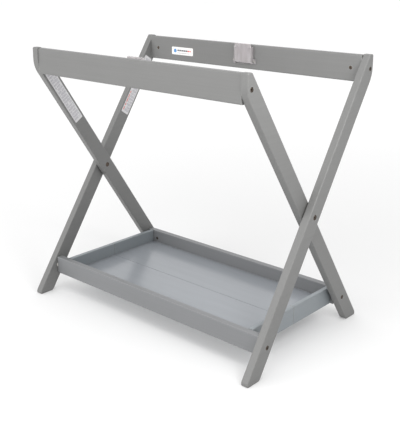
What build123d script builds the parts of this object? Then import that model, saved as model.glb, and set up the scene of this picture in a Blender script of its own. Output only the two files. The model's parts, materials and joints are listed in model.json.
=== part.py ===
from build123d import *
import math
import os

# Folding X-frame stand for a pram bassinet, with a fold-up storage tray.
# Millimetres.  +X runs along the stand, +Y to its rear, +Z up.
# Origin: on the floor, under the middle of the stand.
#
# The inner frame is two legs (front at the top, rear at the foot) and the front rail.
# The outer frame is two legs (rear at the top, front at the foot) and the rear rail.
# The frames cross on two pivot bolts.  The tray is two rigid halves, hinged under their
# middle seam: the rear half turns on the inner legs, the front half on the outer legs.

# ---- overall sizes -------------------------------------------------------------------
STAND_LENGTH = 803.0
STAND_HEIGHT = 730.0
TOP_DEPTH = 481.0          # over the legs' upright front and rear edges
PIVOT_HEIGHT = 353.0

# ---- legs ----------------------------------------------------------------------------
LEG_THICKNESS = 21.0
LEG_WIDTH = 42.6           # square to the leg
LEG_TOP_WIDTH = 15.6       # level cut at the top, before its corners are rounded
LEG_GAP = 2.0              # between an outer and an inner leg
FOOT_TRIM = 6.3            # cut off the pointed nose of a foot, along Y
HEAD_BEND_RADIUS = 70.0
HEAD_CORNER_RADIUS = 4.0
FOOT_NOSE_RADIUS = 14.0
FOOT_TOE_RADIUS = 4.0
FOOT_HEEL_RADIUS = 12.0
LEG_EDGE_RADIUS = 2.5

# ---- rails ---------------------------------------------------------------------------
RAIL_HEIGHT = 70.0
RAIL_THICKNESS = 19.0
RAIL_TOP_DROP = 2.0        # below the legs' tops
RAIL_SETBACK = 3.5         # behind the legs' upright edges
RAIL_EDGE_RADIUS = 4.0

# ---- tray ----------------------------------------------------------------------------
TRAY_BOTTOM = 51.0
BOARD_HEIGHT = 49.5
BOARD_THICKNESS = 18.0
WALL_THICKNESS = 12.6
WALL_INSET = 9.5           # inner leg to an end wall's outer face
FLOOR_THICKNESS = 12.0
FLOOR_REBATE = 7.0         # depth of the step that the floor sits in
SEAM_GAP = 1.0
BUTT_GAP = 0.8             # end wall to board
BOARD_SIDE_GAP = 1.6       # board end to leg
BOARD_EDGE_RADIUS = 2.0

# ---- bolts, nuts and dowels ----------------------------------------------------------
BOLT_DIAMETER = 6.0
BOLT_HEAD_DIAMETER = 12.0
BOLT_HEAD_HEIGHT = 3.0
HEAD_RECESS = 4.0
HEAD_CLEARANCE = 0.4
HEX_ACROSS_FLATS = 4.0
HEX_DEPTH = 2.2
BOLT_HOLE_CLEARANCE = 0.3
RUNNING_CLEARANCE = 0.08
BOLT_END_PAST_NUT = 3.0
NUT_DIAMETER = 10.0
NUT_LENGTH = 14.0
NUT_CLEARANCE = 0.1
NUT_SLOT_WIDTH = 1.4
NUT_SLOT_DEPTH = 1.2
RAIL_NUT_INSET = 31.5      # rail end to barrel nut
BOARD_NUT_INSET = 38.0     # leg to barrel nut
BOARD_BOLT_SETBACK = 7.5   # board's outer face to its bolt
BOARD_BOLT_OFF_CENTRE = 2.2  # leg's middle line to the board's bolt, along Y
DOWEL_DIAMETER = 8.0
DOWEL_IN_LEG = 12.0
DOWEL_IN_RAIL = 20.0
DOWEL_OFFSET = 19.0        # above and below the rail's bolt
DOWEL_CLEARANCE = 0.1
DOWEL_END_GAP = 0.5

# ---- leg pivot -----------------------------------------------------------------------
PIVOT_HEAD_DIAMETER = 14.0
SLEEVE_OUTER_DIAMETER = 9.0
SLEEVE_FLANGE_HEIGHT = 2.0
SLEEVE_FLANGE_RECESS = 2.2
PIVOT_BOLT_IN_SLEEVE = 14.0
WASHER_DIAMETER = 18.0
PIVOT_WASHER_THICKNESS = 1.6
BOARD_WASHER_THICKNESS = 1.2
WASHER_HOLE_CLEARANCE = 0.3

# ---- tray hinges and floor screws ----------------------------------------------------
HINGE_SPACING = 250.0
HINGE_COUNT = 3
HINGE_LENGTH = 60.0
LEAF_WIDTH = 24.0
LEAF_THICKNESS = 1.5
HINGE_DROP = 2.5           # hinge axis below the tray's underside
KNUCKLE_RADIUS = 2.2
KNUCKLE_COUNT = 5
KNUCKLE_GAP = 0.3
HINGE_PIN_RADIUS = 1.2
SCREW_HEAD_RADIUS = 3.0
SCREW_SHANK_RADIUS = 1.5
SCREW_HEAD_HEIGHT = 1.4
HINGE_SCREW_LENGTH = 9.0
FLOOR_SCREW_LENGTH = 28.0
FLOOR_SCREW_COUNT = 5
SCREW_CLEARANCE = 0.1

# ---- bassinet catches, measured from the rail's inner face ---------------------------
CATCH_BASE_WIDTH = 64.0
CATCH_BASE_LIFT = 16.0     # rail's lower edge to the base
CATCH_BASE_HEIGHT = 50.0
BASE_PLATE_THICKNESS = 2.0
CHEEK_THICKNESS = 2.6
CHEEK_DEPTH = 10.0
EAR_LENGTH = 10.0
EAR_HEIGHT = 15.0
EAR_THICKNESS = 3.5
CATCH_SIDE_CLEARANCE = 0.4
CATCH_RISE = 3.0           # above the rail's top
CATCH_PLATE_THICKNESS = 2.6
CATCH_KNUCKLE_RADIUS = 3.6
CATCH_PIN_RADIUS = 1.5
CATCH_PIN_DEPTH = 6.0
CATCH_PIN_LIFT = 6.0       # base's lower edge to the pin
CATCH_RIB_COUNT = 5
CATCH_RIB_THICKNESS = 1.6
CATCH_RIB_DEPTH = 1.8
CATCH_RIB_HEIGHT = 26.0
CATCH_TOOTH_WIDTH = 10.0
CATCH_TOOTH_HEIGHT = 8.0
CATCH_TOOTH_REACH = 2.5
CATCH_SCREW_LENGTH = 14.0

# ---- labels --------------------------------------------------------------------------
LABEL_THICKNESS = 0.2
LABEL_CORNER_RADIUS = 3.0
RAIL_LABEL_LENGTH = 88.0
RAIL_LABEL_HEIGHT = 23.5
RAIL_LABEL_X = -245.0
RAIL_LABEL_LIFT = 31.0     # rail's lower edge to the label's middle
LEG_LABEL_WIDTH = 30.0
INNER_LEG_LABEL_LENGTH = 184.0
OUTER_LEG_LABEL_LENGTH = 198.0
LEG_LABEL_RISE = 4.0       # a leg label's upper end above the rail's lower edge

# ---- derived places ------------------------------------------------------------------
HEAD_Y = TOP_DEPTH / 2
HEAD_RISE = STAND_HEIGHT - PIVOT_HEIGHT
HEAD_SPREAD = HEAD_Y - LEG_TOP_WIDTH
LEAN = math.atan2(HEAD_SPREAD, HEAD_RISE)
LEAN += math.asin(LEG_WIDTH / 2 / math.hypot(HEAD_SPREAD, HEAD_RISE))
SLOPE = math.tan(LEAN)
HALF_LEG = LEG_WIDTH / 2 / math.cos(LEAN)
FOOT_REACH = PIVOT_HEIGHT * SLOPE + HALF_LEG - FOOT_TRIM
OUTER_LEG_X = STAND_LENGTH / 2 - LEG_THICKNESS
INNER_LEG_OUT_X = OUTER_LEG_X - LEG_GAP
INNER_LEG_X = INNER_LEG_OUT_X - LEG_THICKNESS

RAIL_TOP = STAND_HEIGHT - RAIL_TOP_DROP
RAIL_BOTTOM = RAIL_TOP - RAIL_HEIGHT
RAIL_MID = (RAIL_TOP + RAIL_BOTTOM) / 2
RAIL_INNER_Y = HEAD_Y - RAIL_SETBACK - RAIL_THICKNESS
RAIL_MID_Y = RAIL_INNER_Y + RAIL_THICKNESS / 2

TRAY_TOP = TRAY_BOTTOM + BOARD_HEIGHT
FLOOR_TOP = TRAY_BOTTOM + FLOOR_THICKNESS
BOARD_BOLT_Z = TRAY_BOTTOM + BOARD_HEIGHT / 2
BOARD_BOLT_Y = (PIVOT_HEIGHT - BOARD_BOLT_Z) * SLOPE - BOARD_BOLT_OFF_CENTRE
TRAY_HALF_DEPTH = BOARD_BOLT_Y + BOARD_BOLT_SETBACK    # middle seam to a board's outer face
BOARD_INNER_Y = TRAY_HALF_DEPTH - BOARD_THICKNESS
WALL_OUT_X = INNER_LEG_X - WALL_INSET
WALL_IN_X = WALL_OUT_X - WALL_THICKNESS
HINGE_Z = TRAY_BOTTOM - HINGE_DROP

CATCH_BASE_BOTTOM = RAIL_BOTTOM + CATCH_BASE_LIFT
CATCH_BASE_TOP = CATCH_BASE_BOTTOM + CATCH_BASE_HEIGHT
CATCH_TOP = RAIL_TOP + CATCH_RISE
CATCH_PIN_Z = CATCH_BASE_BOTTOM + CATCH_PIN_LIFT
CHEEK_X = CATCH_BASE_WIDTH / 2 - CHEEK_THICKNESS

BOLT_RADIUS = BOLT_DIAMETER / 2
THROUGH = 2 * LEG_THICKNESS

FRONT, REAR = -1, 1
SIDES = {"left": -1, "right": 1}


# ---- small builders ------------------------------------------------------------------
def block(x0, x1, y0, y1, z0, z1):
    """A box between two corners, in any order."""
    size = (abs(x1 - x0), abs(y1 - y0), abs(z1 - z0))
    middle = ((x0 + x1) / 2, (y0 + y1) / 2, (z0 + z1) / 2)
    return Pos(*middle) * Box(*size)


def rod_x(x0, x1, y, z, radius):
    """A cylinder along X."""
    return Pos((x0 + x1) / 2, y, z) * Rot(0, 90, 0) * Cylinder(radius, abs(x1 - x0))


def rod_y(x, y0, y1, z, radius):
    """A cylinder along Y."""
    return Pos(x, (y0 + y1) / 2, z) * Rot(90, 0, 0) * Cylinder(radius, abs(y1 - y0))


def rod_z(x, y, z0, z1, radius):
    """A cylinder along Z."""
    return Pos(x, y, (z0 + z1) / 2) * Cylinder(radius, abs(z1 - z0))


def round_long_edges(solid, axis, radius):
    """Round the edges that run along one axis."""
    return fillet(solid.edges().filter_by(axis), radius)


def flip_side(shape, side):
    """Shapes are drawn on the right (+X); the left ones are their mirror image."""
    return shape if side > 0 else mirror(shape, about=Plane.YZ)


def flip_end(shape, end):
    """Shapes are drawn at the rear (+Y); the front ones are their mirror image."""
    return shape if end > 0 else mirror(shape, about=Plane.XZ)


def both_sides(shape):
    """The right shape and its left mirror image, as two solids."""
    return [shape, flip_side(shape, -1)]


def save(name, *shapes):
    """Write one node: a single solid, or a group of separate ones."""
    solids = [solid for shape in shapes for solid in shape.solids()]
    body = solids[0] if len(solids) == 1 else Compound(children=solids)
    body.label = name
    export_step(body, f"parts/{name}.step")


# ---- legs ----------------------------------------------------------------------------
def leg_outline():
    """Side view of a leg that leans to the rear at its top."""
    bend_z = PIVOT_HEIGHT + (HEAD_Y - HALF_LEG) / SLOPE
    nose_z = FOOT_TRIM / SLOPE
    heel_y = HALF_LEG - PIVOT_HEIGHT * SLOPE
    corners = [
        ((-FOOT_REACH, 0), FOOT_TOE_RADIUS),
        ((heel_y, 0), FOOT_HEEL_RADIUS),
        ((HEAD_Y, bend_z), HEAD_BEND_RADIUS),
        ((HEAD_Y, STAND_HEIGHT), HEAD_CORNER_RADIUS),
        ((HEAD_SPREAD, STAND_HEIGHT), HEAD_CORNER_RADIUS),
        ((-FOOT_REACH, nose_z), FOOT_NOSE_RADIUS),
    ]
    return rounded_polygon(corners)


def rounded_polygon(corners):
    """A closed face whose corners are tangent arcs of their own radius."""
    count = len(corners)
    ends = []
    for index, (point, radius) in enumerate(corners):
        here = Vector(*point)
        before = (Vector(*corners[index - 1][0]) - here).normalized()
        after = (Vector(*corners[(index + 1) % count][0]) - here).normalized()
        half_angle = math.radians(before.get_angle(after)) / 2
        setback = radius / math.tan(half_angle)
        centre = here + (before + after).normalized() * (radius / math.sin(half_angle))
        middle = centre + (here - centre).normalized() * radius
        ends.append((here + before * setback, middle, here + after * setback))
    edges = []
    for index in range(count):
        start, middle, end = ends[index]
        edges.append(ThreePointArc(start, middle, end))
        edges.append(Line(end, ends[(index + 1) % count][0]))
    return make_face(edges)


def leg_blank(x0, end):
    """A right leg from x0 outwards; end is where its top leans to."""
    outline = Plane.YZ.offset(x0) * leg_outline()
    leg = extrude(outline, LEG_THICKNESS, dir=(1, 0, 0))
    rims = [face.edges() for face in leg.faces().filter_by(Axis.X)]
    leg = fillet([edge for rim in rims for edge in rim], LEG_EDGE_RADIUS)
    return flip_end(leg, end)


def leg_bolt_hole(out_x, y, z, clearance, head_diameter=BOLT_HEAD_DIAMETER):
    """Recess and shank hole for a bolt put in from a leg's outer face."""
    recess = rod_x(out_x - HEAD_RECESS, out_x + 1, y, z, head_diameter / 2 + HEAD_CLEARANCE)
    return recess + rod_x(out_x - THROUGH, out_x + 1, y, z, BOLT_RADIUS + clearance)


def dowel_z():
    """Heights of the two dowels at each end of a rail."""
    return [RAIL_MID - DOWEL_OFFSET, RAIL_MID + DOWEL_OFFSET]


def leg_dowel_holes(inner_x, y):
    """Blind holes in a leg's inner face for the rail's dowels."""
    end_x = inner_x + DOWEL_IN_LEG + DOWEL_END_GAP
    radius = DOWEL_DIAMETER / 2 + DOWEL_CLEARANCE
    return [rod_x(inner_x - 1, end_x, y, z, radius) for z in dowel_z()]


def inner_leg():
    """Right inner leg: front at the top, rear at the foot."""
    leg = leg_blank(INNER_LEG_X, FRONT)
    leg -= leg_bolt_hole(INNER_LEG_OUT_X, -RAIL_MID_Y, RAIL_MID, BOLT_HOLE_CLEARANCE)
    leg -= leg_bolt_hole(INNER_LEG_OUT_X, BOARD_BOLT_Y, BOARD_BOLT_Z, RUNNING_CLEARANCE)
    leg -= leg_dowel_holes(INNER_LEG_X, -RAIL_MID_Y)
    flange_x = INNER_LEG_X + SLEEVE_FLANGE_RECESS
    flange_radius = PIVOT_HEAD_DIAMETER / 2 + HEAD_CLEARANCE
    sleeve_radius = SLEEVE_OUTER_DIAMETER / 2 + NUT_CLEARANCE
    leg -= rod_x(INNER_LEG_X - 1, flange_x, 0, PIVOT_HEIGHT, flange_radius)
    leg -= rod_x(INNER_LEG_X - 1, INNER_LEG_OUT_X + 1, 0, PIVOT_HEIGHT, sleeve_radius)
    return leg


def outer_leg():
    """Right outer leg: rear at the top, front at the foot."""
    out_x = STAND_LENGTH / 2
    leg = leg_blank(OUTER_LEG_X, REAR)
    leg -= leg_bolt_hole(out_x, RAIL_MID_Y, RAIL_MID, BOLT_HOLE_CLEARANCE)
    leg -= leg_bolt_hole(out_x, -BOARD_BOLT_Y, BOARD_BOLT_Z, BOLT_HOLE_CLEARANCE)
    leg -= leg_bolt_hole(out_x, 0, PIVOT_HEIGHT, BOLT_HOLE_CLEARANCE, PIVOT_HEAD_DIAMETER)
    leg -= leg_dowel_holes(OUTER_LEG_X, RAIL_MID_Y)
    return leg


# ---- bolts, nuts, dowels and washers -------------------------------------------------
def bolt(out_x, end_x, y, z, head_diameter=BOLT_HEAD_DIAMETER, lift=0.0):
    """Right-hand bolt: flat head in the leg's recess, hex socket, round shank."""
    seat_x = out_x - HEAD_RECESS + lift
    head_x = seat_x + BOLT_HEAD_HEIGHT
    body = rod_x(seat_x, head_x, y, z, head_diameter / 2)
    body = chamfer(body.edges().filter_by(GeomType.CIRCLE).sort_by(Axis.X)[-1], 0.5)
    body += rod_x(end_x, seat_x, y, z, BOLT_RADIUS)
    socket = RegularPolygon(HEX_ACROSS_FLATS / 2, 6, major_radius=False)
    socket = Plane.YZ.offset(head_x - HEX_DEPTH) * Pos(y, z) * socket
    return body - extrude(socket, HEX_DEPTH + 1, dir=(1, 0, 0))


def barrel_nut(x, face_y, bolt_y, z):
    """Slotted cross dowel, put in from a plank's inner face at the rear."""
    end_y = face_y + NUT_LENGTH
    body = rod_y(x, face_y, end_y, z, NUT_DIAMETER / 2)
    body -= rod_x(x - NUT_DIAMETER, x + NUT_DIAMETER, bolt_y, z, BOLT_RADIUS + NUT_CLEARANCE)
    slot = block(x - NUT_SLOT_WIDTH / 2, x + NUT_SLOT_WIDTH / 2,
                 face_y - 1, face_y + NUT_SLOT_DEPTH, z - NUT_DIAMETER, z + NUT_DIAMETER)
    return body - slot


def plank_bolt_bores(end_x, nut_x, face_y, bolt_y, z):
    """Bolt bore and barrel nut bore in a plank's right end."""
    bolt_end = nut_x - NUT_DIAMETER / 2 - BOLT_END_PAST_NUT - 1
    bore = rod_x(bolt_end, end_x + 1, bolt_y, z, BOLT_RADIUS + BOLT_HOLE_CLEARANCE)
    nut_end = face_y + NUT_LENGTH + NUT_CLEARANCE
    return bore + rod_y(nut_x, face_y - 1, nut_end, z, NUT_DIAMETER / 2 + NUT_CLEARANCE)


def washer(x0, thickness, y, z):
    """Flat washer along X, on a bolt."""
    disc = rod_x(x0, x0 + thickness, y, z, WASHER_DIAMETER / 2)
    return disc - rod_x(x0 - 1, x0 + thickness + 1, y, z, BOLT_RADIUS + WASHER_HOLE_CLEARANCE)


def countersunk_screw(x, y, length):
    """Wood screw driven up from the tray's underside, its head flush."""
    head = Pos(x, y, TRAY_BOTTOM + SCREW_HEAD_HEIGHT / 2)
    head *= Cone(SCREW_HEAD_RADIUS, SCREW_SHANK_RADIUS, SCREW_HEAD_HEIGHT)
    shank = rod_z(x, y, TRAY_BOTTOM + SCREW_HEAD_HEIGHT, TRAY_BOTTOM + length, SCREW_SHANK_RADIUS)
    slot = block(x - SCREW_HEAD_RADIUS, x + SCREW_HEAD_RADIUS, y - 0.4, y + 0.4,
                 TRAY_BOTTOM - 1, TRAY_BOTTOM + 0.6)
    return head + shank - slot


def screw_hole(x, y, length):
    """Countersunk hole for such a screw."""
    grow = SCREW_CLEARANCE
    head = Pos(x, y, TRAY_BOTTOM + SCREW_HEAD_HEIGHT / 2)
    head *= Cone(SCREW_HEAD_RADIUS + grow, SCREW_SHANK_RADIUS + grow, SCREW_HEAD_HEIGHT)
    top = TRAY_BOTTOM + length + grow
    return head + rod_z(x, y, TRAY_BOTTOM - 1, top, SCREW_SHANK_RADIUS + grow)


# ---- rails ---------------------------------------------------------------------------
def rail(half_length):
    """A rail at the rear; the front rail is a shorter one, flipped."""
    plank = block(-half_length, half_length, RAIL_INNER_Y, RAIL_INNER_Y + RAIL_THICKNESS,
                  RAIL_BOTTOM, RAIL_TOP)
    plank = round_long_edges(plank, Axis.X, RAIL_EDGE_RADIUS)
    nut_x = half_length - RAIL_NUT_INSET
    cuts = both_sides(plank_bolt_bores(half_length, nut_x, RAIL_INNER_Y, RAIL_MID_Y, RAIL_MID))
    dowel_end = half_length - DOWEL_IN_RAIL - DOWEL_END_GAP
    dowel_radius = DOWEL_DIAMETER / 2 + DOWEL_CLEARANCE
    for z in dowel_z():
        cuts += both_sides(rod_x(dowel_end, half_length + 1, RAIL_MID_Y, z, dowel_radius))
    for x, z in catch_screw_places():
        hole = rod_y(x, RAIL_INNER_Y - 1, RAIL_INNER_Y + CATCH_SCREW_LENGTH - EAR_THICKNESS + 0.5,
                     z, SCREW_SHANK_RADIUS + SCREW_CLEARANCE)
        cuts.append(hole)
    for cut in cuts:
        plank -= cut
    return plank


def save_rail(name, end, half_length, leg_out_x):
    """A rail with its bolts, barrel nuts and dowels."""
    nut_x = half_length - RAIL_NUT_INSET
    bolt_end = nut_x - NUT_DIAMETER / 2 - BOLT_END_PAST_NUT
    screw = bolt(leg_out_x, bolt_end, RAIL_MID_Y, RAIL_MID)
    nut = barrel_nut(nut_x, RAIL_INNER_Y, RAIL_MID_Y, RAIL_MID)
    dowels = []
    for z in dowel_z():
        pin = rod_x(half_length - DOWEL_IN_RAIL, half_length + DOWEL_IN_LEG,
                    RAIL_MID_Y, z, DOWEL_DIAMETER / 2)
        dowels += both_sides(pin)
    save(f"{name}_rail", flip_end(rail(half_length), end))
    save(f"{name}_rail_bolts", *[flip_end(part, end) for part in both_sides(screw)])
    save(f"{name}_rail_barrel_nuts", *[flip_end(part, end) for part in both_sides(nut)])
    save(f"{name}_rail_dowels", *[flip_end(part, end) for part in dowels])


# ---- leg pivots ----------------------------------------------------------------------
def sleeve_nut():
    """Right sleeve nut: flange on the inner leg's inner face, blind at that end."""
    flange_x = INNER_LEG_X + SLEEVE_FLANGE_RECESS
    flange = rod_x(flange_x - SLEEVE_FLANGE_HEIGHT, flange_x, 0, PIVOT_HEIGHT,
                   PIVOT_HEAD_DIAMETER / 2)
    flange = chamfer(flange.edges().filter_by(GeomType.CIRCLE).sort_by(Axis.X)[0], 0.5)
    sleeve = rod_x(flange_x, INNER_LEG_OUT_X, 0, PIVOT_HEIGHT, SLEEVE_OUTER_DIAMETER / 2)
    bore_end = INNER_LEG_OUT_X - PIVOT_BOLT_IN_SLEEVE - 1
    bore = rod_x(bore_end, INNER_LEG_OUT_X + 1, 0, PIVOT_HEIGHT, BOLT_RADIUS + RUNNING_CLEARANCE)
    return flange + sleeve - bore


def save_pivots():
    """Pivot bolts, their sleeve nuts, and the washers between the legs."""
    end_x = INNER_LEG_OUT_X - PIVOT_BOLT_IN_SLEEVE
    screw = bolt(STAND_LENGTH / 2, end_x, 0, PIVOT_HEIGHT, PIVOT_HEAD_DIAMETER)
    spacer = washer(OUTER_LEG_X - PIVOT_WASHER_THICKNESS, PIVOT_WASHER_THICKNESS, 0, PIVOT_HEIGHT)
    save("pivot_bolts", *both_sides(screw))
    save("pivot_sleeve_nuts", *both_sides(sleeve_nut()))
    save("pivot_washers", *both_sides(spacer))


# ---- tray halves ---------------------------------------------------------------------
def floor_screw_places():
    """Screws through the rear floor half: a row into the board, one into each wall."""
    row_y = BOARD_INNER_Y + FLOOR_REBATE / 2
    step = 2 * (WALL_IN_X - BOARD_HEIGHT) / (FLOOR_SCREW_COUNT - 1)
    row = [(step * (n - (FLOOR_SCREW_COUNT - 1) / 2), row_y) for n in range(FLOOR_SCREW_COUNT)]
    wall_x = WALL_IN_X + FLOOR_REBATE / 2
    return row + [(side * wall_x, BOARD_INNER_Y / 2) for side in SIDES.values()]


def hinge_places():
    """Middles of the seam hinges, along X."""
    return [HINGE_SPACING * (n - (HINGE_COUNT - 1) / 2) for n in range(HINGE_COUNT)]


def hinge_screw_places():
    """Two screws through each hinge leaf of the rear half."""
    leaf_y = (KNUCKLE_RADIUS + LEAF_WIDTH) / 2
    spread = HINGE_LENGTH / 3
    return [(x + sign * spread, leaf_y) for x in hinge_places() for sign in (-1, 1)]


def tray_board(half_length, nut_x):
    """Long board of a tray half, at the rear."""
    plank = block(-half_length, half_length, BOARD_INNER_Y, TRAY_HALF_DEPTH, TRAY_BOTTOM, TRAY_TOP)
    plank = round_long_edges(plank, Axis.X, BOARD_EDGE_RADIUS)
    step_x = WALL_IN_X + FLOOR_REBATE
    plank -= block(-step_x, step_x, BOARD_INNER_Y - 1, BOARD_INNER_Y + FLOOR_REBATE,
                   TRAY_BOTTOM - 1, FLOOR_TOP)
    for cut in both_sides(plank_bolt_bores(half_length, nut_x, BOARD_INNER_Y,
                                           BOARD_BOLT_Y, BOARD_BOLT_Z)):
        plank -= cut
    for x, y in floor_screw_places()[:FLOOR_SCREW_COUNT]:
        plank -= screw_hole(x, y, FLOOR_SCREW_LENGTH)
    return plank


def tray_floor():
    """Floor panel of the rear tray half."""
    half_x = WALL_IN_X + FLOOR_REBATE
    far_y = BOARD_INNER_Y + FLOOR_REBATE
    panel = block(-half_x, half_x, SEAM_GAP / 2, far_y, TRAY_BOTTOM, FLOOR_TOP)
    for x, y in floor_screw_places():
        panel -= screw_hole(x, y, FLOOR_SCREW_LENGTH)
    for x, y in hinge_screw_places():
        panel -= rod_z(x, y, TRAY_BOTTOM - 1, TRAY_BOTTOM + HINGE_SCREW_LENGTH,
                       SCREW_SHANK_RADIUS + SCREW_CLEARANCE)
    return panel


def tray_end_wall():
    """Right end wall of the rear tray half."""
    wall = block(WALL_IN_X, WALL_OUT_X, SEAM_GAP / 2, BOARD_INNER_Y - BUTT_GAP,
                 TRAY_BOTTOM, TRAY_TOP)
    wall = round_long_edges(wall, Axis.Y, BOARD_EDGE_RADIUS)
    wall -= block(WALL_IN_X - 1, WALL_IN_X + FLOOR_REBATE, 0, BOARD_INNER_Y,
                  TRAY_BOTTOM - 1, FLOOR_TOP)
    for x, y in floor_screw_places()[FLOOR_SCREW_COUNT:]:
        wall -= screw_hole(x, y, FLOOR_SCREW_LENGTH)
    return wall


def hinge_leaves(own_first):
    """Rear leaves of the seam hinges; own_first says which knuckles they carry."""
    leaves = []
    pitch = HINGE_LENGTH / KNUCKLE_COUNT
    for middle in hinge_places():
        start = middle - HINGE_LENGTH / 2
        plate_y = KNUCKLE_RADIUS + KNUCKLE_GAP
        leaf = block(start, start + HINGE_LENGTH, plate_y, LEAF_WIDTH,
                     TRAY_BOTTOM - LEAF_THICKNESS, TRAY_BOTTOM)
        for n in range(KNUCKLE_COUNT):
            if (n % 2 == 0) != own_first:
                continue
            x0 = start + n * pitch + KNUCKLE_GAP / 2
            x1 = start + (n + 1) * pitch - KNUCKLE_GAP / 2
            leaf += rod_x(x0, x1, 0, HINGE_Z, KNUCKLE_RADIUS)
            leaf += block(x0, x1, 0.9, plate_y + 1, HINGE_Z + 0.9, TRAY_BOTTOM - 0.5)
        bore = HINGE_PIN_RADIUS + RUNNING_CLEARANCE
        leaf -= rod_x(start - 1, start + HINGE_LENGTH + 1, 0, HINGE_Z, bore)
        for x, y in hinge_screw_places():
            if abs(x - middle) < HINGE_LENGTH / 2:
                leaf -= hinge_screw(x, y, SCREW_CLEARANCE)
        leaves.append(leaf)
    return leaves


def hinge_screw(x, y, grow=0.0):
    """Countersunk screw through a hinge leaf, flush with it."""
    face_z = TRAY_BOTTOM - LEAF_THICKNESS
    head = Pos(x, y, face_z + SCREW_HEAD_HEIGHT / 2)
    head *= Cone(SCREW_HEAD_RADIUS + grow, SCREW_SHANK_RADIUS + grow, SCREW_HEAD_HEIGHT)
    top = TRAY_BOTTOM + HINGE_SCREW_LENGTH - 1
    bottom = face_z + SCREW_HEAD_HEIGHT if grow == 0.0 else face_z - 1
    return head + rod_z(x, y, bottom, top, SCREW_SHANK_RADIUS + grow)


def hinge_pins():
    """One pin through the knuckles of each seam hinge."""
    half = HINGE_LENGTH / 2
    return [rod_x(x - half, x + half, 0, HINGE_Z, HINGE_PIN_RADIUS) for x in hinge_places()]


def save_tray_half(name, end, leg_x, nut_x):
    """Board, floor, end walls and fixings of one tray half."""
    half_length = leg_x - BOARD_SIDE_GAP
    nut = barrel_nut(nut_x, BOARD_INNER_Y, BOARD_BOLT_Y, BOARD_BOLT_Z)
    spacer = washer(half_length, BOARD_WASHER_THICKNESS, BOARD_BOLT_Y, BOARD_BOLT_Z)
    floor_screws = [countersunk_screw(x, y, FLOOR_SCREW_LENGTH) for x, y in floor_screw_places()]
    leaf_screws = [hinge_screw(x, y) for x, y in hinge_screw_places()]
    save(f"{name}_board", flip_end(tray_board(half_length, nut_x), end))
    save(f"{name}_floor", flip_end(tray_floor(), end))
    for side_name, side in SIDES.items():
        wall = flip_side(tray_end_wall(), side)
        save(f"{name}_end_wall_{side_name}", flip_end(wall, end))
    save(f"{name}_board_barrel_nuts", *[flip_end(part, end) for part in both_sides(nut)])
    save(f"{name}_board_washers", *[flip_end(part, end) for part in both_sides(spacer)])
    save(f"{name}_floor_screws", *[flip_end(part, end) for part in floor_screws])
    save(f"{name}_hinge_leaves", *[flip_end(leaf, end) for leaf in hinge_leaves(end == REAR)])
    save(f"{name}_hinge_screws", *[flip_end(part, end) for part in leaf_screws])


def save_tray_bolts():
    """The rear bolts are whole.  The front ones are in two, at the leg's inner face."""
    rear_nut_x = INNER_LEG_X - BOARD_NUT_INSET
    front_nut_x = OUTER_LEG_X - BOARD_NUT_INSET
    past_nut = NUT_DIAMETER / 2 + BOLT_END_PAST_NUT
    rear = bolt(INNER_LEG_OUT_X, rear_nut_x - past_nut, BOARD_BOLT_Y, BOARD_BOLT_Z,
                lift=HEAD_CLEARANCE)
    front = bolt(STAND_LENGTH / 2, OUTER_LEG_X, BOARD_BOLT_Y, BOARD_BOLT_Z)
    tail = rod_x(front_nut_x - past_nut, OUTER_LEG_X - HEAD_CLEARANCE,
                 BOARD_BOLT_Y, BOARD_BOLT_Z, BOLT_RADIUS)
    save("rear_board_bolts", *both_sides(rear))
    save("front_board_bolts", *[flip_end(part, FRONT) for part in both_sides(front)])
    save("front_board_bolt_ends", *[flip_end(part, FRONT) for part in both_sides(tail)])
    return rear_nut_x, front_nut_x


# ---- bassinet catches ----------------------------------------------------------------
def depth_y(depth):
    """Y of a point that stands this far inwards from the rear rail's inner face."""
    return RAIL_INNER_Y - depth


def catch_screw_places():
    """Screws through the ears of a catch base."""
    x = CATCH_BASE_WIDTH / 2 + EAR_LENGTH / 2
    return [(side * x, CATCH_BASE_BOTTOM + EAR_HEIGHT / 2) for side in SIDES.values()]


def catch_base():
    """Clear housing on the rear rail: back plate, two cheeks and two screw ears."""
    half = CATCH_BASE_WIDTH / 2
    base = block(-half, half, depth_y(0), depth_y(BASE_PLATE_THICKNESS),
                 CATCH_BASE_BOTTOM, CATCH_BASE_TOP)
    cheek_top = CATCH_BASE_TOP - BASE_PLATE_THICKNESS
    for side in SIDES.values():
        cheek = block(side * CHEEK_X, side * half, depth_y(0), depth_y(CHEEK_DEPTH),
                      CATCH_BASE_BOTTOM, cheek_top)
        base += round_long_edges(cheek, Axis.X, CHEEK_THICKNESS)
        ear = block(side * CHEEK_X, side * (half + EAR_LENGTH), depth_y(0),
                    depth_y(EAR_THICKNESS), CATCH_BASE_BOTTOM, CATCH_BASE_BOTTOM + EAR_HEIGHT)
        base += ear
    base = fillet(base.edges().filter_by(Axis.Y).filter_by_position(
        Axis.X, half + EAR_LENGTH - 0.1, half + EAR_LENGTH + 0.1), EAR_THICKNESS)
    base = fillet(base.edges().filter_by(Axis.Y).filter_by_position(
        Axis.X, -half - EAR_LENGTH - 0.1, -half - EAR_LENGTH + 0.1), EAR_THICKNESS)
    pin_hole = CATCH_PIN_RADIUS + NUT_CLEARANCE
    base -= rod_x(-half - 1, half + 1, depth_y(CATCH_PIN_DEPTH), CATCH_PIN_Z, pin_hole)
    for x, z in catch_screw_places():
        base -= rod_y(x, depth_y(-1), depth_y(EAR_THICKNESS + 1), z,
                      SCREW_SHANK_RADIUS + SCREW_CLEARANCE)
    return base


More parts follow.
